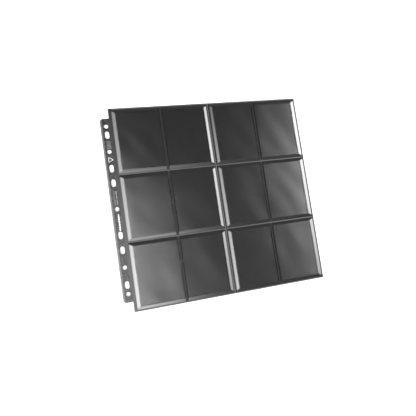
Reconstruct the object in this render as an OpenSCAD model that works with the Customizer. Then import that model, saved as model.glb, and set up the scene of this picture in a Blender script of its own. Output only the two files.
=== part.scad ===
// Double-sided pocket page for a ring album.
// A black core sheet carries two clear films on each face. Each film is welded to the core at its
// ends, along the cross seams and along one upright groove, so it forms a block of side-loading
// pockets two columns wide. A stiff insert card lies in every pocket. A punched binding strip
// runs along the left side, and the page folds about the strip's rounded inner edge.
//
// Frame: +X from the strip to the free edge, +Y towards the head of the page, +Z out of the
// front face. The origin is under the middle of the page, level with the back films' flats.

/* [Insert cards] */
// Card width, across the page
card_w = 63; // [60:0.5:63]
// Card height, along the page
card_h = 88; // [80:0.5:88]
// Card thickness
card_t = 0.3; // [0.2:0.05:0.35]
// Radius of the card's corners
card_corner_r = 3; // [1:0.5:5]
// Free height between the core sheet and a card
card_gap = 0.2; // [0.15:0.05:0.25]

/* [Pocket blocks] */
// Number of pockets from head to tail
rows = 3; // [3:1:3]
// Height of the page, from tail to head
page_h = 292; // [290:1:300]
// Width of the flat that a film forms over a card
flat_w = 64; // [63.4:0.1:64]
// Height of the film's inside above the core sheet, over a card
pocket_rise = 1.9; // [1.2:0.1:3]
// Height of the open slit at a pocket's mouth
mouth_rise = 0.8; // [0.7:0.1:1]
// Width of the bevel down to a pocket's mouth
mouth_bevel = 5.4; // [4:0.1:7]
// Width of the bevel down to a cross seam
end_bevel = 4.7; // [3:0.1:5]
// Width of the flat weld along a cross seam
seam_weld = 2; // [1:0.5:2]
// Width of the flat weld along the head and the tail
edge_weld = 2; // [1:0.5:2]
// Width of the upright groove between two columns
groove_w = 5.5; // [5:0.1:6]
// Width of the flat weld at the bottom of the groove
groove_weld = 4.1; // [3.5:0.1:4.3]

/* [Sheets] */
// Thickness of the core sheet
core_t = 0.4; // [0.3:0.05:0.4]
// Thickness of a film
film_t = 0.15; // [0.1:0.01:0.25]
// Bare core between the crease and the first block
crease_margin = 5.15; // [4:0.05:8]
// Bare core between the two blocks
block_gap = 3.8; // [3:0.1:6]
// Bare core along the free edge
free_margin = 2.35; // [1:0.05:4]
// Running gap between the strip's rounded edge and the core sheet
crease_clearance = 0.7; // [0.65:0.05:0.8]

/* [Binding strip] */
// Width from the strip's outer edge to the crease
strip_w = 12.3; // [12:0.1:16]
// Length of the strip
strip_h = 263; // [262:1:270]
// Thickness of the strip
strip_t = 0.6; // [0.5:0.05:0.6]
// Radius of the strip's two outer corners
strip_corner_r = 4.5; // [2:0.5:6]
// Width of the thinned outer edge
strip_edge_w = 2.8; // [1:0.1:3]
// Thickness at the outer edge
strip_edge_t = 0.3; // [0.2:0.05:0.4]

/* [Ring holes] */
// Distance from the strip's outer edge to the line of holes
hole_inset = 8; // [7.5:0.1:8]
// Diameter of the round holes, and width of the slots
hole_d = 6; // [5:0.1:6.4]
// Length of a slot from end to end
slot_len = 11; // [8:0.1:11]

/* [Hidden] */
$fn = 64;
EPS = 1;
FACES = ["front", "back"];
SIDES = ["left", "right"];
COLUMNS = 4;

// Distances of the holes from the strip's middle: 0 is the middle hole, the others come in pairs
ROUND_AT = [0, 83, 120];
SLOTS_AT = [37.5, 58.5, 107.5];

block_w = 2 * (mouth_bevel + flat_w) + groove_w;
page_w = crease_margin + 2 * block_w + block_gap + free_margin;
total_w = strip_w + page_w;
total_t = core_t + 2 * (pocket_rise + film_t);
mid_z = total_t / 2;
row_pitch = page_h / rows;

strip_x = -total_w / 2;
crease_x = strip_x + strip_w;
hole_x = strip_x + hole_inset;
block_x = [crease_x + crease_margin, crease_x + crease_margin + block_w + block_gap];

groove_wall = (groove_w - groove_weld) / 2;
column_w = mouth_bevel + flat_w + groove_wall;

function card_node(face, row, column) =
    str("card_", FACES[face], "_r", row + 1, "c", column + 1);
function film_node(face, side) = str("film_", FACES[face], "_", SIDES[side]);

// ---- Helpers ----

// Children drawn above the core sheet's front surface, or mirrored below its back surface
module on_face(face) {
    translate([0, 0, mid_z])
        mirror([0, 0, face])
            translate([0, 0, core_t / 2])
                children();
}

// A profile of [x, z] points, carried along Y over the height of the page and beyond it by spare
module along_y(points, spare = 0) {
    translate([0, page_h / 2 + spare, 0])
        rotate([90, 0, 0])
            linear_extrude(page_h + 2 * spare)
                polygon(points);
}

// A profile of [y, z] points, carried along X over a block and beyond it by spare
module along_x(points, spare = 0) {
    translate([-spare, 0, 0])
        rotate([90, 0, 90])
            linear_extrude(block_w + 2 * spare)
                polygon(points);
}

// A flat rectangle centred on the origin, with rounded corners
module rounded_rectangle(w, h, r) {
    square([w, h - 2 * r], center = true);
    square([w - 2 * r, h], center = true);
    for (x = [-1, 1], y = [-1, 1])
        translate([x * (w / 2 - r), y * (h / 2 - r)])
            circle(r);
}

// ---- Binding strip ----

// Cross-section of the strip: thinned at the outer edge, square where the rounded edge joins it
module strip_section() {
    polygon([
        [strip_x, -strip_edge_t / 2],
        [strip_x + strip_edge_w, -strip_t / 2],
        [crease_x, -strip_t / 2],
        [crease_x, strip_t / 2],
        [strip_x + strip_edge_w, strip_t / 2],
        [strip_x, strip_edge_t / 2]
    ]);
}

// The strip's outline in plan, with only the outer corners rounded
module strip_outline() {
    translate([strip_x + strip_w / 2, 0])
        rounded_rectangle(strip_w, strip_h, strip_corner_r);
    translate([crease_x - strip_corner_r, -strip_h / 2])
        square([strip_corner_r + EPS, strip_h]);
}

// A round hole through the strip at height y
module round_hole(y) {
    translate([hole_x, y, -EPS])
        cylinder(d = hole_d, h = 2 * EPS);
}

// A slot through the strip, centred at height y and running along Y
module slot_hole(y) {
    half_straight = (slot_len - hole_d) / 2;
    round_hole(y - half_straight);
    round_hole(y + half_straight);
    translate([hole_x - hole_d / 2, y - half_straight, -EPS])
        cube([hole_d, 2 * half_straight, 2 * EPS]);
}

module binding_strip() {
    color("#3c3d40")
        translate([0, 0, mid_z])
            difference() {
                union() {
                    intersection() {
                        translate([0, strip_h / 2, 0])
                            rotate([90, 0, 0])
                                linear_extrude(strip_h)
                                    strip_section();
                        translate([0, 0, -EPS])
                            linear_extrude(2 * EPS)
                                strip_outline();
                    }
                    // The rounded inner edge, centred on the line that the page folds about
                    translate([crease_x, strip_h / 2, 0])
                        rotate([90, 0, 0])
                            cylinder(d = strip_t, h = strip_h);
                }
                round_hole(ROUND_AT[0]);
                for (side = [-1, 1]) {
                    for (i = [1, 2])
                        round_hole(side * ROUND_AT[i]);
                    for (y = SLOTS_AT)
                        slot_hole(side * y);
                }
            }
}

// ---- Core sheet ----

module core_sheet() {
    edge_x = crease_x + strip_t / 2 + crease_clearance;
    color("#141415")
        translate([edge_x, -page_h / 2, mid_z - core_t / 2])
            cube([crease_x + page_w - edge_x, page_h, core_t]);
}

// ---- Films ----

// Outside of a block across the page: mouth bevel, flat, groove, flat, mouth bevel
function across_outside() = [
    [0, 0],
    [0, mouth_rise + film_t],
    [mouth_bevel, pocket_rise + film_t],
    [mouth_bevel + flat_w + film_t, pocket_rise + film_t],
    [column_w + film_t, film_t],
    [block_w - column_w - film_t, film_t],
    [block_w - mouth_bevel - flat_w - film_t, pocket_rise + film_t],
    [block_w - mouth_bevel, pocket_rise + film_t],
    [block_w, mouth_rise + film_t],
    [block_w, 0]
];

// Inside of one pocket across the page, from beyond its open mouth to the groove's weld
function across_inside() = [
    [-EPS, -EPS],
    [-EPS, mouth_rise - EPS * (pocket_rise - mouth_rise) / mouth_bevel],
    [mouth_bevel, pocket_rise],
    [mouth_bevel + flat_w, pocket_rise],
    [column_w, 0],
    [column_w, -EPS]
];

// One row's bevel, flat and bevel along the page, raised by a film's thickness or not
function row_points(row, raise) =
    let (
        low = -page_h / 2 + row * row_pitch + (row == 0 ? edge_weld : seam_weld / 2),
        high = -page_h / 2 + (row + 1) * row_pitch - (row == rows - 1 ? edge_weld : seam_weld / 2)
    ) [
        [low, raise],
        [low + end_bevel, pocket_rise + raise],
        [high - end_bevel, pocket_rise + raise],
        [high, raise]
    ];

// Outside of a block along the page, from tail to head
function along_outside() = concat(
    [[-page_h / 2, 0], [-page_h / 2, film_t]],
    [for (row = [0 : rows - 1]) each row_points(row, film_t)],
    [[page_h / 2, film_t], [page_h / 2, 0]]
);

// Inside of one row of pockets along the page
function along_inside(row) =
    let (points = row_points(row, 0))
        concat([[points[0][0], -EPS]], points, [[points[3][0], -EPS]]);

module pocket_spaces() {
    intersection() {
        union() {
            along_y(across_inside(), EPS);
            translate([block_w, 0, 0])
                mirror([1, 0, 0])
                    along_y(across_inside(), EPS);
        }
        union()
            for (row = [0 : rows - 1])
                along_x(along_inside(row), 2 * EPS);
    }
}

module film(face, side) {
    color([0.62, 0.64, 0.67, 0.45])
        on_face(face)
            translate([block_x[side], 0, 0])
                difference() {
                    intersection() {
                        along_y(across_outside());
                        along_x(along_outside());
                    }
                    pocket_spaces();
                }
}

// ---- Insert cards ----

// Middle of a column's flat, measured across the page
function column_x(column) =
    let (
        side = floor(column / 2),
        from_mouth = mouth_bevel + flat_w / 2
    ) block_x[side] + (column % 2 == 0 ? from_mouth : block_w - from_mouth);

// Middle of a row, counted from the head of the page
function row_y(row) = page_h / 2 - (row + 0.5) * row_pitch;

module card(face, row, column) {
    color("#1c1c1e")
        on_face(face)
            translate([column_x(column), row_y(row), card_gap])
                linear_extrude(card_t)
                    rounded_rectangle(card_w, card_h, card_corner_r);
}

// ---- The page ----

binding_strip();
core_sheet();
for (face = [0, 1], side = [0, 1])
    film(face, side);
for (face = [0, 1], row = [0 : rows - 1], column = [0 : COLUMNS - 1])
    card(face, row, column);
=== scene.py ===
import math

import bmesh
import bpy
import numpy as np
from mathutils import Matrix, Vector


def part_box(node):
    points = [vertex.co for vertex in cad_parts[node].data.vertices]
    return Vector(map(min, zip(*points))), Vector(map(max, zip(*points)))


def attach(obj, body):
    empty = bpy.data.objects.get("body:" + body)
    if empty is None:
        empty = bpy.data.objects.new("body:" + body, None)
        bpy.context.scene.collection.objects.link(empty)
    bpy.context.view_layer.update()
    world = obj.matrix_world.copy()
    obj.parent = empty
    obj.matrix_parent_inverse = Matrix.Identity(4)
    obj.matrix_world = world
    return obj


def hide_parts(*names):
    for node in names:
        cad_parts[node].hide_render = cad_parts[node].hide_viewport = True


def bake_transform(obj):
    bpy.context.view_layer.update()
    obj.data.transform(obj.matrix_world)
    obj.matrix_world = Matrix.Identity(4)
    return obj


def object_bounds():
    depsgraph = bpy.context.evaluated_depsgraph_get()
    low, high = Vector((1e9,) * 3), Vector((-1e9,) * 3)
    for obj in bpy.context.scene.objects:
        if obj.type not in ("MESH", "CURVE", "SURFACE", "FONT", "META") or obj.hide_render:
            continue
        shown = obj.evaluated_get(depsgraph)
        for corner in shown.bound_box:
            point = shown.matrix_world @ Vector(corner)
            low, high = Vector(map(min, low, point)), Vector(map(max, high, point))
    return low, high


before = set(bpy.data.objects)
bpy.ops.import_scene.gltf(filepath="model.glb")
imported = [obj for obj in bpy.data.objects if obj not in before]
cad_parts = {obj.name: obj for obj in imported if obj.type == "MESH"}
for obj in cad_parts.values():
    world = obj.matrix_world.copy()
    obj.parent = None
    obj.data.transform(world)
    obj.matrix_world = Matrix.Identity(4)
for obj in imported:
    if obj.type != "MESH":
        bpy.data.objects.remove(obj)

cad_low, cad_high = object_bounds()

MM = 0.001

# ---------------------------------------------------------------------------
# The frame: where the CAD model says everything is, in metres
# ---------------------------------------------------------------------------

FACES = ("front", "back")
SIDES = ("left", "right")

core_low, core_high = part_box("core_sheet")
strip_low, strip_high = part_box("binding_strip")
film_left_low, film_left_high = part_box("film_front_left")
film_right_low, film_right_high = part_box("film_front_right")
MID_Z = (core_low.z + core_high.z) / 2
CORE_HALF = (core_high.z - core_low.z) / 2
CREASE_X = strip_high.x - (strip_high.z - strip_low.z) / 2
PAGE_TOP = core_high.y
PAGE_BOTTOM = core_low.y
ROWS = 3
ROW_PITCH = (PAGE_TOP - PAGE_BOTTOM) / ROWS


def face_sign(face):
    """+1 for the front face and -1 for the back."""
    return 1 if face == "front" else -1


def on_face(face, height):
    """Z of a height above the core sheet's surface on that face."""
    return MID_Z + face_sign(face) * (CORE_HALF + height)


# ---------------------------------------------------------------------------
# Mesh helpers
# ---------------------------------------------------------------------------

SHARP = math.radians(35)


def new_object(name, verts, faces, material):
    """A smooth-shaded mesh object with consistent outward normals."""
    mesh = bpy.data.meshes.new(name)
    mesh.from_pydata([tuple(v) for v in verts], [], faces)
    bm = bmesh.new()
    bm.from_mesh(mesh)
    bmesh.ops.recalc_face_normals(bm, faces=bm.faces)
    bm.to_mesh(mesh)
    bm.free()
    for polygon in mesh.polygons:
        polygon.use_smooth = True
    mesh.set_sharp_from_angle(angle=SHARP)
    mesh.materials.append(material)
    obj = bpy.data.objects.new(name, mesh)
    bpy.context.scene.collection.objects.link(obj)
    return obj


def closed_sheet(name, outer, inner, material):
    """A closed solid between two grids of points, (columns, rows, 3)."""
    columns, rows = outer.shape[:2]
    count = columns * rows
    verts = np.concatenate([outer.reshape(-1, 3), inner.reshape(-1, 3)])

    def at(i, j, layer):
        return layer * count + i * rows + j

    faces = []
    for i in range(columns - 1):
        for j in range(rows - 1):
            faces.append((at(i, j, 0), at(i + 1, j, 0), at(i + 1, j + 1, 0), at(i, j + 1, 0)))
            faces.append((at(i, j, 1), at(i, j + 1, 1), at(i + 1, j + 1, 1), at(i + 1, j, 1)))
    ring = [(i, 0) for i in range(columns)]
    ring += [(columns - 1, j) for j in range(1, rows)]
    ring += [(i, rows - 1) for i in range(columns - 2, -1, -1)]
    ring += [(0, j) for j in range(rows - 2, 0, -1)]
    for (a, b), (c, d) in zip(ring, ring[1:] + ring[:1]):
        faces.append((at(a, b, 0), at(a, b, 1), at(c, d, 1), at(c, d, 0)))
    return new_object(name, verts, faces, material)


def stretch(start, end, steps):
    """Evenly spaced values from start up to, but not including, end."""
    return list(np.linspace(start, end, steps, endpoint=False))


# ---------------------------------------------------------------------------
# Materials
# ---------------------------------------------------------------------------


def node_material(name):
    """An empty node material. Returns it with its tree and its output node."""
    material = bpy.data.materials.new(name)
    material.use_nodes = True
    tree = material.node_tree
    tree.nodes.clear()
    output = tree.nodes.new("ShaderNodeOutputMaterial")
    return material, tree, output


def object_coordinates(tree, stretched=(1, 1, 1), turn=0.0):
    """Object coordinates in metres, for a texture that is stretched and then turned about z."""
    where = tree.nodes.new("ShaderNodeTexCoord")
    mapping = tree.nodes.new("ShaderNodeMapping")
    mapping.vector_type = "TEXTURE"
    mapping.inputs["Scale"].default_value = stretched
    mapping.inputs["Rotation"].default_value = (0, 0, turn)
    tree.links.new(where.outputs["Object"], mapping.inputs["Vector"])
    return mapping.outputs["Vector"]


def noise(tree, vector, scale, detail=2.0, rough=0.5):
    """A noise texture, with scale in cells per metre."""
    node = tree.nodes.new("ShaderNodeTexNoise")
    node.inputs["Scale"].default_value = scale
    node.inputs["Detail"].default_value = detail
    node.inputs["Roughness"].default_value = rough
    tree.links.new(vector, node.inputs["Vector"])
    return node.outputs["Fac"]


def ramp(tree, value, low, high, from_low=0.0, from_high=1.0):
    """A value mapped from one range to another."""
    node = tree.nodes.new("ShaderNodeMapRange")
    node.inputs["From Min"].default_value = from_low
    node.inputs["From Max"].default_value = from_high
    node.inputs["To Min"].default_value = low
    node.inputs["To Max"].default_value = high
    tree.links.new(value, node.inputs["Value"])
    return node.outputs["Result"]


def grey_mix(tree, factor, dark, light):
    """A colour between two near-grey colours."""
    node = tree.nodes.new("ShaderNodeMix")
    node.data_type = "RGBA"
    node.inputs["A"].default_value = (*dark, 1)
    node.inputs["B"].default_value = (*light, 1)
    tree.links.new(factor, node.inputs["Factor"])
    return node.outputs["Result"]


def bump(tree, height, distance):
    """A bump of the given depth in metres."""
    node = tree.nodes.new("ShaderNodeBump")
    node.inputs["Distance"].default_value = distance
    node.inputs["Strength"].default_value = 1.0
    tree.links.new(height, node.inputs["Height"])
    return node.outputs["Normal"]


def calc(tree, operation, a, b=None):
    """A math node; a and b are sockets or plain numbers."""
    node = tree.nodes.new("ShaderNodeMath")
    node.operation = operation
    for socket, value in zip(node.inputs, (a, b)):
        if isinstance(value, (int, float)):
            socket.default_value = value
        elif value is not None:
            tree.links.new(value, socket)
    return node.outputs["Value"]


def principled(tree, output, specular):
    """A Principled shader on the output."""
    shader = tree.nodes.new("ShaderNodeBsdfPrincipled")
    shader.inputs["Specular IOR Level"].default_value = specular
    tree.links.new(shader.outputs["BSDF"], output.inputs["Surface"])
    return shader


def attribute(tree, name):
    """A number that the mesh carries at each point."""
    node = tree.nodes.new("ShaderNodeAttribute")
    node.attribute_name = name
    return node.outputs["Fac"]


# In what follows a grey is a linear base colour, cells are per metre and depths are in metres.
# A pair gives the two ends of a range.
FINE_DEPTH = 0.00001

FILM_SHINE = 0.6
FILM_DARK = 0.0015
FILM_MILK = 0.005
FILM_VEIL = 0.25
FILM_SPECKLE_CELLS = 900
FILM_SPECKLE = (0.6, 1.4)
FILM_SMEAR_CELLS = 240
FILM_ROUGH = (0.11, 0.15)
FILM_DIMPLE_CELLS = 70


def film_material():
    """Glossy film: clear over the pockets, and opaque black where it slopes down to the core sheet."""
    material, tree, output = node_material("clear_film")
    where = object_coordinates(tree)
    surface = principled(tree, output, FILM_SHINE)
    speckle = ramp(tree, noise(tree, where, FILM_SPECKLE_CELLS, detail=2.0), *FILM_SPECKLE)
    milk = calc(tree, "MULTIPLY", attribute(tree, "crease"), speckle)
    tone = grey_mix(tree, milk, (FILM_DARK,) * 3, (FILM_MILK,) * 3)
    tree.links.new(tone, surface.inputs["Base Color"])
    tree.links.new(ramp(tree, attribute(tree, "body"), FILM_VEIL, 1.0), surface.inputs["Alpha"])
    smear = ramp(tree, noise(tree, where, FILM_SMEAR_CELLS, detail=3.0), *FILM_ROUGH)
    tree.links.new(smear, surface.inputs["Roughness"])
    dimples = noise(tree, where, FILM_DIMPLE_CELLS, detail=1.0)
    tree.links.new(bump(tree, dimples, FINE_DEPTH), surface.inputs["Normal"])
    return material


LINING_CELLS = 60
LINING_TINTS = ((0.95, 0.95, 0.96), (0.98, 0.98, 0.985))


def lining_material():
    """The inside of the film, which only tints what is seen through it."""
    material, tree, output = node_material("clear_film_inside")
    where = object_coordinates(tree)
    clear = tree.nodes.new("ShaderNodeBsdfTransparent")
    tone = grey_mix(tree, noise(tree, where, LINING_CELLS), *LINING_TINTS)
    tree.links.new(tone, clear.inputs["Color"])
    tree.links.new(clear.outputs["BSDF"], output.inputs["Surface"])
    return material


GRAINS_A_PATCH = 40
PATCH_ROUGH = 0.05


def grained_material(name, dark, light, rough, cells, depth=FINE_DEPTH, specular=0.5):
    """Plastic with a fine pebble grain between two greys, and patches a little more or less rough."""
    material, tree, output = node_material(name)
    shader = principled(tree, output, specular)
    where = object_coordinates(tree)
    grain = noise(tree, where, cells, detail=3.0, rough=0.6)
    patches = noise(tree, where, cells / GRAINS_A_PATCH, detail=2.0)
    tree.links.new(grey_mix(tree, grain, (dark,) * 3, (light,) * 3), shader.inputs["Base Color"])
    uneven = ramp(tree, patches, rough - PATCH_ROUGH, rough + PATCH_ROUGH)
    tree.links.new(uneven, shader.inputs["Roughness"])
    tree.links.new(bump(tree, grain, depth), shader.inputs["Normal"])
    return material


STRIP_SHINE = 0.35
STRIP_CELLS = 330
STRIP_DEPTH = 0.00012
STRIP_GREYS = ((0.0001,) * 3, (0.012,) * 3)
STRIP_CONTRAST = (0.46, 0.62)
# A painted highlight along the strip's thin outer edge: its grey, and how much the grain breaks it up
STRIP_EDGE_HIGHLIGHT = 0.045
STRIP_HIGHLIGHT_GRAIN = (0.5, 1.5)
STRIP_SMEAR_CELLS = 25
STRIP_ROUGH = (0.22, 0.28)
# Width over which the painted edge highlight fades in from the outer edge
EDGE_FADE = 3.2 * MM


def strip_material():
    """Pebbled black plastic, with a painted highlight along its thin outer edge."""
    material, tree, output = node_material("strip_grain")
    shader = principled(tree, output, STRIP_SHINE)
    where = object_coordinates(tree)
    grain = noise(tree, where, STRIP_CELLS, detail=1.0, rough=0.6)
    black = grey_mix(tree, ramp(tree, grain, 0, 1, *STRIP_CONTRAST), *STRIP_GREYS)
    places = tree.nodes.new("ShaderNodeSeparateXYZ")
    tree.links.new(where, places.inputs["Vector"])
    # Painted highlight: a pale band that fades in from the thin outer edge, broken up by the grain
    edge = ramp(tree, places.outputs["X"], 1.0, 0.0, strip_low.x, strip_low.x + EDGE_FADE)
    edge_highlight = calc(tree, "MULTIPLY", edge, ramp(tree, grain, *STRIP_HIGHLIGHT_GRAIN))
    pale = grey_mix(tree, edge_highlight, (0, 0, 0), (STRIP_EDGE_HIGHLIGHT,) * 3)
    total = tree.nodes.new("ShaderNodeMix")
    total.data_type = "RGBA"
    total.blend_type = "ADD"
    total.inputs["Factor"].default_value = 1.0
    tree.links.new(black, total.inputs["A"])
    tree.links.new(pale, total.inputs["B"])
    tree.links.new(total.outputs["Result"], shader.inputs["Base Color"])
    smear = ramp(tree, noise(tree, where, STRIP_SMEAR_CELLS), *STRIP_ROUGH)
    tree.links.new(smear, shader.inputs["Roughness"])
    tree.links.new(bump(tree, grain, STRIP_DEPTH), shader.inputs["Normal"])
    return material


CARD_SHINE = 1.0
CARD_FIBRE_CELLS = 900
CARD_GREYS = ((0.001,) * 3, (0.002,) * 3)
CARD_SMEAR_CELLS = 40
CARD_ROUGH = (0.10, 0.17)
RIPPLE_CELLS = 34
RIPPLE_STRETCH = 2.4
RIPPLE_TURN = math.radians(-52)
RIPPLE_DEPTH = 0.0007


def card_material():
    """Shiny black card under the film, with soft diagonal ripples that bend its reflections."""
    material, tree, output = node_material("card_black")
    shader = principled(tree, output, CARD_SHINE)
    where = object_coordinates(tree)
    fibres = noise(tree, where, CARD_FIBRE_CELLS, detail=3.0)
    tree.links.new(grey_mix(tree, fibres, *CARD_GREYS), shader.inputs["Base Color"])
    smear = ramp(tree, noise(tree, where, CARD_SMEAR_CELLS), *CARD_ROUGH)
    tree.links.new(smear, shader.inputs["Roughness"])
    slanted = object_coordinates(tree, (RIPPLE_STRETCH, 1, 1), RIPPLE_TURN)
    ripples = noise(tree, slanted, RIPPLE_CELLS, detail=0.0)
    tree.links.new(bump(tree, ripples, RIPPLE_DEPTH), shader.inputs["Normal"])
    return material


FILM = film_material()
LINING = lining_material()
FUSED = grained_material("fused_film", dark=0.005, light=0.008, rough=0.26, cells=1500, specular=0.18)
STRIP = strip_material()
CORE = grained_material("core_black", dark=0.001, light=0.003, rough=0.24, cells=2500, specular=0.45)
CARD = card_material()
WELD = grained_material(
    "milky_weld", dark=0.005, light=0.012, rough=0.42, cells=1800, depth=2 * FINE_DEPTH, specular=0.4
)
HEM = grained_material("matte_hem", dark=0.001, light=0.002, rough=0.5, cells=1500, specular=0.1)
INK = grained_material("pale_ink", dark=0.28, light=0.45, rough=0.5, cells=900)
FAINT_INK = grained_material("faint_ink", dark=0.06, light=0.15, rough=0.5, cells=900)

# ---------------------------------------------------------------------------
# Films: heights in millimetres above the core sheet, places in millimetres from the block's corner
# ---------------------------------------------------------------------------

FILM_T = 0.15
RISE = 1.9
# The open mouths: height of their edge, where the bevel up to the flat ends, and width of the flat lip
MOUTH_RISE = 0.8
MOUTH_BEVEL = 5.4
HEM_W = 0.6
# The upright weld in the middle of a block, and the walls beside it
GROOVE_WALL = 0.7
GROOVE_WELD = {"left": 3.3, "right": 2.3}
# The cross seams and the head and tail, and the bevels beside them
SEAM_WELD = 2.0
EDGE_WELD = 2.0
END_BEVEL = 4.7
BLOCK_W = (film_left_high.x - film_left_low.x) / MM
PITCH = ROW_PITCH / MM
# How softly the folds turn, across and along the block, and the softer shoulder by the free edge
FOLD_SPREAD = 0.7
END_SPREAD = 0.45
SHOULDER_W = 1.2
SHOULDER_DROP = 0.12
# The flats dip by SAG, more or less by WAVE, from SAG_REACH inside their edges
SAG = 0.09
SAG_REACH = 16
WAVE = 0.055
WAVE_COUNT = 14
WAVE_LENGTHS = (38, 120)
# The least height of the film's inner surface
SEAT = 0.02
# The folds across and along the block meet over this height
FOLD_BLEND = 0.12
# Within this distance of the middle of the block the folds stay crisp
GROOVE_ZONE = 12
# How a corner's rounding is worked out, in parts or multiples of its spread
ROUNDING_PARTS = 6
ROUNDING_PAD = 5
ROUNDING_REACH = 4
# Steps between the points of a film's mesh on its slopes and on its flats
ACROSS_STEPS = (0.45, 2.2)
ALONG_STEPS = (0.40, 2.4)
WIDE_FLAT = 10
FLAT_MARGIN = 3.0
MARGIN_STEPS = 6
LEAST_STEPS = 5
# Where the film counts as fused to the core: below a height, and on the groove's walls
FUSED_HEIGHT = 0.12
WALL_TOP = RISE - 0.05
# The crease attribute is milky on slopes and fades where they are steep. The body attribute is opaque
# on slopes and well below the flats.
STEEP_SLOPE = 0.15
MILK_START = 1.6
MILK_FALL = 2
BODY_DROP = 0.35
BODY_FADE = 0.3
LINING_SLOT = 1
FUSED_SLOT = 2
FILM_SEED = 40


def across_profile(weld):
    """Corners (x, height) of a film's inside across a block with a middle weld of that width."""
    wall_foot = (BLOCK_W - weld) / 2
    half = [
        (0, MOUTH_RISE),
        (HEM_W, MOUTH_RISE),
        (MOUTH_BEVEL, RISE),
        (wall_foot - GROOVE_WALL, RISE),
        (wall_foot, 0),
    ]
    return half + [(BLOCK_W - x, h) for x, h in reversed(half)]


def along_profile():
    """Corners (y, height) of a film's inside along the page, from its tail to its head."""
    points = [(0, 0)]
    for row in range(ROWS):
        low = row * PITCH + (EDGE_WELD if row == 0 else SEAM_WELD / 2)
        high = (row + 1) * PITCH - (EDGE_WELD if row == ROWS - 1 else SEAM_WELD / 2)
        points += [(low, 0), (low + END_BEVEL, RISE), (high - END_BEVEL, RISE), (high, 0)]
    return points + [(ROWS * PITCH, 0)]


def rounded(points, at, spread):
    """The profile through points with its corners rounded over the given spread, read at some places."""
    places, heights = zip(*points)
    step = spread / ROUNDING_PARTS
    margin = ROUNDING_PAD * spread
    fine = np.arange(places[0] - margin, places[-1] + margin, step)
    sharp = np.interp(fine, places, heights)
    slope_in = (heights[1] - heights[0]) / (places[1] - places[0])
    slope_out = (heights[-1] - heights[-2]) / (places[-1] - places[-2])
    sharp = np.where(fine < places[0], heights[0] + slope_in * (fine - places[0]), sharp)
    sharp = np.where(fine > places[-1], heights[-1] + slope_out * (fine - places[-1]), sharp)
    reach = np.arange(-ROUNDING_REACH * spread, ROUNDING_REACH * spread + step / 2, step)
    weights = np.exp(-0.5 * (reach / spread) ** 2)
    smooth = np.convolve(sharp, weights / weights.sum(), mode="same")
    return np.interp(at, fine, smooth)


def samples(points, fine_step, coarse_step):
    """Places along a profile: close together where it slopes, further apart on its flats."""
    found = []
    for (a, ha), (b, hb) in zip(points, points[1:]):
        wide = b - a
        if ha == hb and wide > WIDE_FLAT:
            start, end = a + FLAT_MARGIN, b - FLAT_MARGIN
            found += stretch(a, start, MARGIN_STEPS)
            found += stretch(start, end, round((wide - 2 * FLAT_MARGIN) / coarse_step))
            found += stretch(end, b, MARGIN_STEPS)
        else:
            found += stretch(a, b, max(LEAST_STEPS, round(wide / fine_step)))
    return np.array(found + [points[-1][0]])


def waves(x, y, seed, shortest, longest):
    """A smooth random surface of about unit height: a sum of plane waves."""
    draw = np.random.default_rng(seed)
    total = np.zeros_like(x)
    for _ in range(WAVE_COUNT):
        length = draw.uniform(shortest, longest)
        turn = draw.uniform(0, 2 * math.pi)
        phase = draw.uniform(0, 2 * math.pi)
        total += np.sin(2 * math.pi * (x * math.cos(turn) + y * math.sin(turn)) / length + phase)
    return total / math.sqrt(WAVE_COUNT / 2)


def inland(places, points, reach):
    """0 outside a profile's raised flats, rising smoothly to 1 at the given distance inside them."""
    result = np.zeros_like(places)
    for (a, ha), (b, hb) in zip(points, points[1:]):
        if ha == hb == RISE:
            depth = np.clip(np.minimum(places - a, b - places) / reach, 0, 1)
            result = np.maximum(result, depth * depth * (3 - 2 * depth))
    return result


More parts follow.
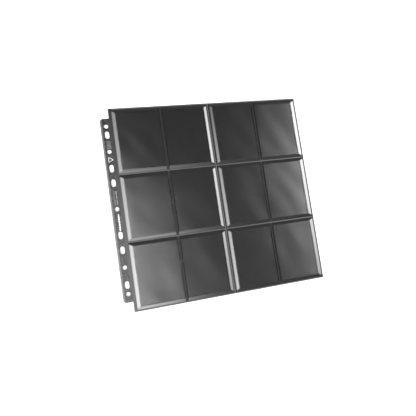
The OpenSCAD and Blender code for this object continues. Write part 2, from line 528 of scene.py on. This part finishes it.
def film(face, side, seed):
    """One film: a closed sheet that follows its block's pockets on that face."""
    low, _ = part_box(f"film_{face}_{side}")
    across, along = across_profile(GROOVE_WELD[side]), along_profile()
    if side == "right":
        free_fold = BLOCK_W - MOUTH_BEVEL
        at = across.index((free_fold, RISE))
        across[at : at + 1] = [(free_fold - SHOULDER_W, RISE), (free_fold, RISE - SHOULDER_DROP)]
    xs = samples(across, *ACROSS_STEPS)
    ys = samples(along, *ALONG_STEPS)
    x, y = np.meshgrid(xs, ys, indexing="ij")
    near_groove = np.abs(xs - BLOCK_W / 2) < GROOVE_ZONE
    height_x = np.where(near_groove, np.interp(xs, *zip(*across)), rounded(across, xs, FOLD_SPREAD))
    height_x = height_x[:, None] + 0 * y
    height_y = rounded(along, ys, END_SPREAD)[None, :] + 0 * x
    inside = (height_x + height_y - np.sqrt((height_x - height_y) ** 2 + FOLD_BLEND**2)) / 2
    inside = np.clip(inside, 0, RISE)
    mask = inland(xs, across, SAG_REACH)[:, None] * inland(ys, along, SAG_REACH)[None, :]
    dip = np.clip(SAG - WAVE * waves(x, y, seed, *WAVE_LENGTHS), 0, None)
    inside = inside - mask * dip
    outer = inside + FILM_T
    inner = np.maximum(inside, SEAT)

    def grid(heights):
        z = MID_Z + face_sign(face) * (CORE_HALF + heights * MM)
        return np.stack([low.x + x * MM, PAGE_BOTTOM + y * MM, z], axis=-1)

    def carry(name, values):
        """Stores a number per point, the same on both of the film's surfaces."""
        layer = piece.data.attributes.new(name, "FLOAT", "POINT")
        layer.data.foreach_set("value", np.tile(values.reshape(-1), 2).astype(np.float32))

    piece = closed_sheet(f"film_{face}_{side}_skin", grid(outer), grid(inner), FILM)
    in_groove = np.abs(x - BLOCK_W / 2) < GROOVE_WELD[side] / 2 + GROOVE_WALL
    fused = (inside < FUSED_HEIGHT) | (in_groove & (inside < WALL_TOP))
    fused = np.tile(fused.reshape(-1), 2)
    piece.data.materials.append(LINING)
    piece.data.materials.append(FUSED)
    for polygon in piece.data.polygons:
        if min(polygon.vertices) >= inside.size:
            polygon.material_index = LINING_SLOT
        elif fused[list(polygon.vertices)].all():
            polygon.material_index = FUSED_SLOT
    slope_x, slope_y = np.gradient(inside, xs, ys)
    slope = np.hypot(slope_x, slope_y)
    steep = np.clip(slope / STEEP_SLOPE, 0, 1)
    carry("crease", steep * np.clip(MILK_START - MILK_FALL * slope, 0, 1))
    carry("body", np.maximum(steep, np.clip((RISE - BODY_DROP - inside) / BODY_FADE, 0, 1)))
    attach(piece, "page")
    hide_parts(f"film_{face}_{side}")


for number, (face, side) in enumerate((f, s) for f in FACES for s in SIDES):
    film(face, side, FILM_SEED + number)

# ---------------------------------------------------------------------------
# Welds: raised, finely knurled lines, in millimetres
# ---------------------------------------------------------------------------

RIB_SECTIONS = 9
STEPS_A_KNURL = 4
LEAST_RIB_STEPS = 8
KNURL_DEPTH = 0.35
END_FADE = 0.6
LEAST_FADE = 0.02
END_WIDTH = 0.6
RIB_SEAT = 0.01


def rib(name, face, start, end, width, height, base, pitch, material):
    """A low rounded rib from start to end (x, y in metres), knurled at the given pitch in millimetres."""
    a, b = Vector(start), Vector(end)
    along = (b - a).normalized()
    side = Vector((-along.y, along.x))
    length = (b - a).length
    steps = max(LEAST_RIB_STEPS, round(length / (pitch * MM) * STEPS_A_KNURL))
    outer = np.zeros((steps + 1, RIB_SECTIONS, 3))
    inner = np.zeros_like(outer)
    for i in range(steps + 1):
        t = i / steps
        knurl = 1 - KNURL_DEPTH + KNURL_DEPTH * math.cos(2 * math.pi * t * length / (pitch * MM))
        end_fade = min(1.0, t * length / (END_FADE * MM), (1 - t) * length / (END_FADE * MM))
        end_fade = math.sqrt(max(end_fade, LEAST_FADE))
        taper = END_WIDTH + (1 - END_WIDTH) * end_fade
        for j in range(RIB_SECTIONS):
            s = 2 * j / (RIB_SECTIONS - 1) - 1
            place = a + along * (t * length) + side * (s * width * MM / 2 * taper)
            crown = math.sqrt(max(0.0, 1 - s * s)) * height * knurl * end_fade
            outer[i, j] = (place.x, place.y, on_face(face, (base + crown + RIB_SEAT) * MM))
            inner[i, j] = (place.x, place.y, on_face(face, (base - RIB_SEAT) * MM))
    piece = closed_sheet(name, outer, inner, material)
    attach(piece, "page")


SEAM_INSET = 0.2
MIDDLE_INSET = 0.4
HEM_INSET = 0.2
gap_x = (film_left_high.x + film_right_low.x) / 2
lip_x = (film_right_high.x + core_high.x) / 2
seams = [PAGE_BOTTOM + line * ROW_PITCH for line in range(1, ROWS)]
seams += [PAGE_BOTTOM + EDGE_WELD * MM / 2, PAGE_TOP - EDGE_WELD * MM / 2]

for face in FACES:
    for line, seam_y in enumerate(seams):
        ends = (film_left_low.x + SEAM_INSET * MM, seam_y), (film_right_high.x - SEAM_INSET * MM, seam_y)
        name = f"cross_seam_{face}_{line}"
        rib(name, face, *ends, width=1.7, height=0.16, base=FILM_T, pitch=1.7, material=WELD)
    ends = (gap_x, PAGE_BOTTOM + MIDDLE_INSET * MM), (gap_x, PAGE_TOP - MIDDLE_INSET * MM)
    rib(f"middle_weld_{face}", face, *ends, width=1.5, height=0.34, base=0, pitch=1.4, material=WELD)
    ends = (lip_x, PAGE_BOTTOM + HEM_INSET * MM), (lip_x, PAGE_TOP - HEM_INSET * MM)
    rib(f"free_edge_hem_{face}", face, *ends, width=2.2, height=0.12, base=0, pitch=1.7, material=HEM)

# The crease itself: a thin knurled web along the line between the strip and the page, in millimetres
WEB_START = 0.1
WEB_END = 1.3
WEB_T = 0.12
WEB_INSET = 0.6
WEB_COLUMNS = 14
WEB_STEP = 0.45
WEB_PITCH = 1.8
WEB_KNURL = 0.35


def crease_web():
    """The thinned line that the page folds along."""
    length = (strip_high.y - strip_low.y) / MM - WEB_INSET
    xs = np.linspace(WEB_START, WEB_END, WEB_COLUMNS)
    ys = np.linspace(-length / 2, length / 2, round(length / WEB_STEP))
    x, y = np.meshgrid(xs, ys, indexing="ij")
    ridges = np.cos(2 * math.pi * y / WEB_PITCH)
    middle = np.sin(math.pi * (x - WEB_START) / (WEB_END - WEB_START))
    half = WEB_T / 2 * (1 + WEB_KNURL * ridges * middle)
    where = [CREASE_X + x * MM, y * MM]
    outer = np.stack([*where, MID_Z + half * MM], axis=-1)
    inner = np.stack([*where, MID_Z - half * MM], axis=-1)
    piece = closed_sheet("crease_web", outer, inner, CORE)
    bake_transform(piece)


crease_web()

# ---------------------------------------------------------------------------
# Plain marks printed on the strip, in millimetres from the middle of the strip's length
# ---------------------------------------------------------------------------

HOLE_INSET = 8
MARK_SHIFT = 0.8
MARK_X = strip_low.x + HOLE_INSET * MM + MARK_SHIFT * MM
INK_T = 0.02
BOX_CORNERS = ((-1, -1), (1, -1), (1, 1), (-1, 1))
BOX_QUADS = ((3, 2, 1, 0), (4, 5, 6, 7), (0, 1, 5, 4), (1, 2, 6, 5), (2, 3, 7, 6), (3, 0, 4, 7))


def mark(name, boxes, material):
    """Thin boxes on the strip's front: (centre x, centre y, width, height, turn), in millimetres."""
    low_z = strip_high.z - INK_T * MM
    high_z = strip_high.z + INK_T * MM
    verts, faces = [], []
    for cx, cy, wide, tall, turn in boxes:
        start = len(verts)
        for z in (low_z, high_z):
            for sx, sy in BOX_CORNERS:
                dx, dy = sx * wide / 2, sy * tall / 2
                px = cx + dx * math.cos(turn) - dy * math.sin(turn)
                py = cy + dx * math.sin(turn) + dy * math.cos(turn)
                verts.append((MARK_X + px * MM, py * MM, z))
        for quad in BOX_QUADS:
            faces.append(tuple(start + i for i in quad))
    piece = new_object(name, verts, faces, material)
    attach(piece, "strip")


DASH_LENGTHS = (0.45, 1.0)
DASH_WIDTHS = (0.7, 1.0)
DASH_GAPS = (0.4, 0.9)
DASH_SHIFT = 0.1


def dashes(low, high, columns, seed):
    """Short strokes in columns (x, thickness, longest) between two heights: stand-ins for small print."""
    draw = np.random.default_rng(seed)
    found = []
    for x, thick, longest in columns:
        y = low
        while True:
            long = draw.uniform(*DASH_LENGTHS) * longest
            if y + long > high:
                break
            shift = draw.uniform(-DASH_SHIFT, DASH_SHIFT)
            width = thick * draw.uniform(*DASH_WIDTHS)
            found.append((x + shift, y + long / 2, width, long, 0))
            y += long + draw.uniform(*DASH_GAPS)
    return found


UPPER_COLUMNS = [(-2.4, 0.5, 2.0), (-0.9, 0.5, 2.6), (0.6, 0.5, 2.0), (2.0, 0.5, 2.6)]
LOWER_COLUMNS = [(-2.8, 0.4, 1.4), (-1.9, 0.4, 1.4), (0.9, 1.3, 1.6)]
BAR_COLUMNS = [(0, 2.1, 2.6)]
mark("rules_upper", dashes(low=87, high=100.5, columns=UPPER_COLUMNS, seed=7), FAINT_INK)
mark("rules_lower", dashes(low=6.5, high=27, columns=LOWER_COLUMNS, seed=8), FAINT_INK)
mark("bar_dashes", dashes(low=-30.6, high=-6.5, columns=BAR_COLUMNS, seed=9), INK)

TRIANGLE_SIDE = 7.4
TRIANGLE_STROKE = 0.55
TRIANGLE_AT = (-1.1, 71.3)
# Each stroke's length, as a part of the side
STROKE_REACH = 0.88


def triangle():
    """Three strokes around an equilateral triangle that points away from the binding edge."""
    reach = TRIANGLE_SIDE / math.sqrt(3)
    turns = (0, 2 * math.pi / 3, 4 * math.pi / 3)
    corners = [(TRIANGLE_AT[0] + reach * math.cos(t), TRIANGLE_AT[1] + reach * math.sin(t)) for t in turns]
    strokes = []
    for (ax, ay), (bx, by) in zip(corners, corners[1:] + corners[:1]):
        turn = math.atan2(by - ay, bx - ax)
        middle = (ax + bx) / 2, (ay + by) / 2
        strokes.append((*middle, TRIANGLE_SIDE * STROKE_REACH, TRIANGLE_STROKE, turn))
    return strokes


mark("triangle_outline", triangle(), INK)

# ---------------------------------------------------------------------------
# CAD pieces that keep their shape
# ---------------------------------------------------------------------------


def finish_node(name, material):
    """Gives a CAD node its detailed material."""
    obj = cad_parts[name]
    obj.data.materials.clear()
    obj.data.materials.append(material)


finish_node("core_sheet", CORE)
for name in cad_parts:
    if name.startswith("card_"):
        finish_node(name, CARD)
finish_node("binding_strip", STRIP)

# ---------------------------------------------------------------------------
# Camera
# ---------------------------------------------------------------------------

# Places in metres, lens and sensor in millimetres
CAMERA_PLACE = Vector((-0.2039, -0.0654, 0.63675))
CAMERA_TARGET = Vector((-0.01522, -0.01435, MID_Z))
CAMERA_UP = Vector((0.154, 0.995, 0))
CAMERA_LENS = 38.42
CAMERA_SENSOR = 36.0
CAMERA_CLIP = 0.01


def place_camera():
    """The camera of the photograph: high over the page, a little to its left and below its middle."""
    data = bpy.data.cameras.new("camera")
    data.lens = CAMERA_LENS
    data.sensor_width = CAMERA_SENSOR
    data.clip_start = CAMERA_CLIP
    camera = bpy.data.objects.new("camera", data)
    bpy.context.scene.collection.objects.link(camera)
    back = (CAMERA_PLACE - CAMERA_TARGET).normalized()
    right = CAMERA_UP.cross(back).normalized()
    up = back.cross(right)
    turn = Matrix((right, up, back)).transposed()
    camera.matrix_world = Matrix.Translation(CAMERA_PLACE) @ turn.to_4x4()
    bpy.context.scene.camera = camera


# ---------------------------------------------------------------------------
# Studio
# ---------------------------------------------------------------------------

BASE_LIGHT = 0.42
BACKDROP = 1.0
# Soft lights with feathered edges, placed by slope from straight up: x for left to right, y for tail
# to head. The left light's edge softens below LEAN_FROM and leans outward above it. The right light's
# edge leans outward above RIGHT_LEAN_FROM, and the light ends at RIGHT_TOP. Growth is the power by which
# a light's strength rises outward, counted from GROWTH_FROM.
LEFT_LIGHT = {"edge": 0.15, "far": -0.9, "middle": -0.2, "spread": 0.34, "strength": 23, "growth": 1.2}
LOW_LIGHT = {"edge": 0.30, "far": -0.9, "middle": -1.35, "spread": 0.4, "strength": 13, "growth": 0}
RIGHT_LIGHT = {"edge": 0.54, "far": 1.4, "middle": 0.3, "spread": 0.36, "strength": 18.5, "growth": 1.6}
GROWTH_FROM = {-1: 0.5, 1: 0.0}
LEFT_FEATHER = 0.045
LEFT_SOFTENING = 0.13
SOFTEST_DROP = 0.5
LOW_FEATHER = 0.05
RIGHT_FEATHER = 0.05
RIGHT_TOP = 0.62
TOP_FEATHER = 0.07
FAR_FEATHER = 0.2
LEAN = 1.0
LEAN_FROM = 0.1
RIGHT_LEAN = 0.5
RIGHT_LEAN_FROM = 0.16
LOWEST_SKY = 0.05
LEAST_OUTWARD = 0.01


def studio_world():
    """An even white surround with three large soft lights, which the camera sees as a plain backdrop."""
    world = bpy.data.worlds.new("studio")
    world.use_nodes = True
    tree = world.node_tree
    tree.nodes.clear()
    output = tree.nodes.new("ShaderNodeOutputWorld")
    background = tree.nodes.new("ShaderNodeBackground")
    background.inputs["Color"].default_value = (1, 1, 1, 1)
    tree.links.new(background.outputs["Background"], output.inputs["Surface"])
    where = tree.nodes.new("ShaderNodeTexCoord")
    parts = tree.nodes.new("ShaderNodeSeparateXYZ")
    tree.links.new(where.outputs["Generated"], parts.inputs["Vector"])
    height = calc(tree, "MAXIMUM", parts.outputs["Z"], LOWEST_SKY)
    slope_x = calc(tree, "DIVIDE", parts.outputs["X"], height)
    slope_y = calc(tree, "DIVIDE", parts.outputs["Y"], height)

    def feathered(place, edge, feather):
        """1 well beyond the edge, on the side the feather's sign points to, and 0 well before it."""
        fall = calc(tree, "EXPONENT", calc(tree, "DIVIDE", calc(tree, "SUBTRACT", edge, place), feather))
        return calc(tree, "DIVIDE", 1.0, calc(tree, "ADD", fall, 1.0))

    def soft_light(place, feather, edge, far, middle, spread, strength, growth, side):
        """One light: feathered along x, where its strength can grow, and bell-shaped along y."""
        off = calc(tree, "DIVIDE", calc(tree, "SUBTRACT", slope_y, middle), spread)
        bell = calc(tree, "EXPONENT", calc(tree, "MULTIPLY", calc(tree, "MULTIPLY", off, off), -0.5))
        near_side = feathered(place, edge, feather)
        far_side = feathered(place, far, -side * FAR_FEATHER)
        shape = calc(tree, "MULTIPLY", calc(tree, "MULTIPLY", near_side, far_side), bell)
        if growth:
            outward = calc(tree, "ADD", calc(tree, "MULTIPLY", slope_x, side), GROWTH_FROM[side])
            grown = calc(tree, "POWER", calc(tree, "MAXIMUM", outward, LEAST_OUTWARD), growth)
            shape = calc(tree, "MULTIPLY", shape, grown)
        return calc(tree, "MULTIPLY", shape, strength)

    above = calc(tree, "MAXIMUM", calc(tree, "SUBTRACT", slope_y, LEAN_FROM), 0.0)
    below = calc(tree, "MAXIMUM", calc(tree, "SUBTRACT", LEAN_FROM, slope_y), 0.0)
    leaning = calc(tree, "ADD", slope_x, calc(tree, "MULTIPLY", above, LEAN))
    below = calc(tree, "MINIMUM", below, SOFTEST_DROP)
    soft = calc(tree, "ADD", calc(tree, "MULTIPLY", below, LEFT_SOFTENING), LEFT_FEATHER)
    left = soft_light(leaning, calc(tree, "MULTIPLY", soft, -1.0), side=-1, **LEFT_LIGHT)
    left = calc(tree, "ADD", left, soft_light(slope_x, -LOW_FEATHER, side=-1, **LOW_LIGHT))
    high = calc(tree, "MAXIMUM", calc(tree, "SUBTRACT", slope_y, RIGHT_LEAN_FROM), 0.0)
    leaning = calc(tree, "SUBTRACT", slope_x, calc(tree, "MULTIPLY", high, RIGHT_LEAN))
    right = soft_light(leaning, RIGHT_FEATHER, side=1, **RIGHT_LIGHT)
    right = calc(tree, "MULTIPLY", right, feathered(slope_y, RIGHT_TOP, -TOP_FEATHER))
    light = calc(tree, "ADD", calc(tree, "ADD", left, right), BASE_LIGHT)
    path = tree.nodes.new("ShaderNodeLightPath")
    seen = calc(tree, "MULTIPLY", calc(tree, "SUBTRACT", BACKDROP, light), path.outputs["Is Camera Ray"])
    tree.links.new(calc(tree, "ADD", light, seen), background.inputs["Strength"])
    bpy.context.scene.world = world


FLOOR_SIZE = 6.0
FLOOR_DROP = 0.3 * MM
FLOOR_CELLS = 3
FLOOR_GREYS = ((0.40,) * 3, (0.42,) * 3)


def floor():
    """A plain pale floor just under the page."""
    material, tree, output = node_material("pale_floor")
    shader = tree.nodes.new("ShaderNodeBsdfDiffuse")
    where = object_coordinates(tree)
    tone = grey_mix(tree, noise(tree, where, FLOOR_CELLS), *FLOOR_GREYS)
    tree.links.new(tone, shader.inputs["Color"])
    tree.links.new(shader.outputs["BSDF"], output.inputs["Surface"])
    half = FLOOR_SIZE / 2
    z = cad_low.z - FLOOR_DROP
    verts = [(-half, -half, z), (half, -half, z), (half, half, z), (-half, half, z)]
    new_object("floor", verts, [(0, 1, 2, 3)], material)


place_camera()
studio_world()
floor()
bpy.context.scene.view_settings.view_transform = "Standard"
